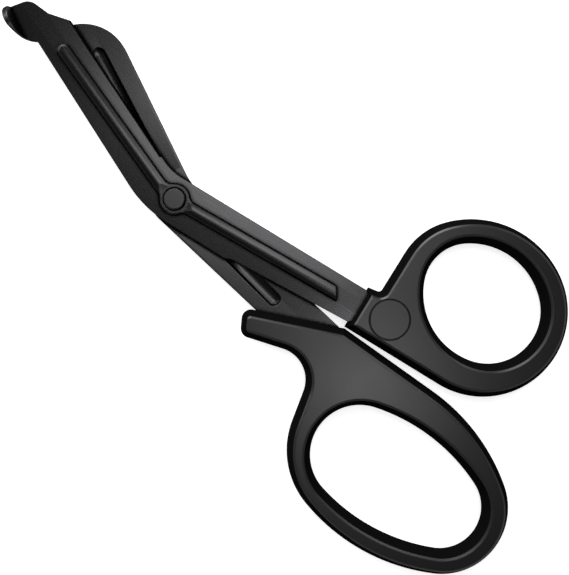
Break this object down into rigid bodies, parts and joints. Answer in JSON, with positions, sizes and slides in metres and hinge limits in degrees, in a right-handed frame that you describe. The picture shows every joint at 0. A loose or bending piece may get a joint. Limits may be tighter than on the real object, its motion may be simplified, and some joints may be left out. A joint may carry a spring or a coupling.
{
  "type": "bandage scissors",
  "caption": "Angled bandage scissors with flat beaded blades, a blunt foot with a turned-up lip on the lower jaw, and moulded ring handles with a finger spur.",
  "frame": {"origin": "on the pivot axis, at the plane the scissors lie on, which is the flat end of the rivet's tail and the back faces of the handles", "axes": "+X along the front blade's shank towards the thumb ring, +Y to the thumb ring's side in the plane of the blades, +Z out of the front face towards the viewer"},
  "size_m": [0.1797, 0.0915, 0.0093],
  "materials": {
    "coated_steel": "black coated, satin brushed",
    "handle_plastic": "satin moulded black"
  },
  "bodies": {
    "front": {"front_blade": "coated_steel", "thumb_handle": "handle_plastic", "pivot_rivet": "coated_steel"},
    "rear": {"rear_blade": "coated_steel", "finger_handle": "handle_plastic"}
  },
  "joints": [
    {"name": "pivot", "type": "hinge", "parent": "front", "child": "rear", "pos_m": [0, 0, 0.0043], "axis": [0, 0, -1], "range_deg": [0, 50]}
  ]
}
